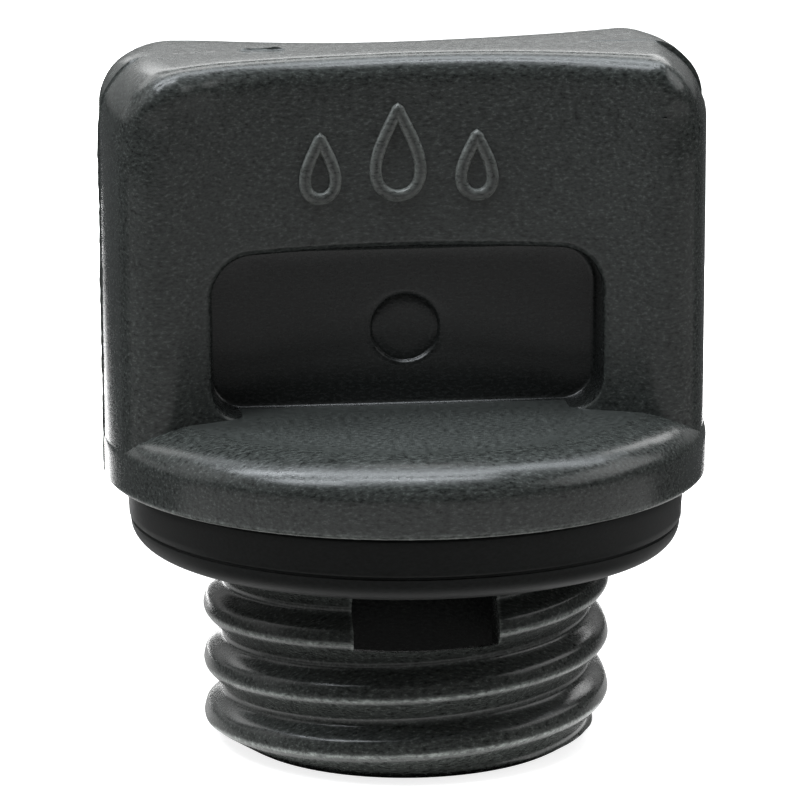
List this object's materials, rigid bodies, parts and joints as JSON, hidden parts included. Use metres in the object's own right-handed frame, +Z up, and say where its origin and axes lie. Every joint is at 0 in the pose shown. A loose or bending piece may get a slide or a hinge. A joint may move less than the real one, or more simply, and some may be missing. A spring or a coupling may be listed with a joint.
{
  "type": "oil filler cap",
  "caption": "Screw-in filler cap with a slab grip, a round flange, a hollow coarse-threaded plug and a rubber sealing ring.",
  "frame": {"origin": "on the thread's axis, in the plane of the plug's open end", "axes": "+Z up along the thread's axis from the plug to the grip, X along the grip's width and in the mould's parting plane, -Y towards the front face"},
  "size_m": [0.0426, 0.0426, 0.0495],
  "materials": {
    "cap_body": "satin black moulded plastic with a fine grain",
    "gasket": "matte black rubber"
  },
  "bodies": {
    "root": {"cap_body": "cap_body", "gasket": "gasket"}
  },
  "joints": []
}
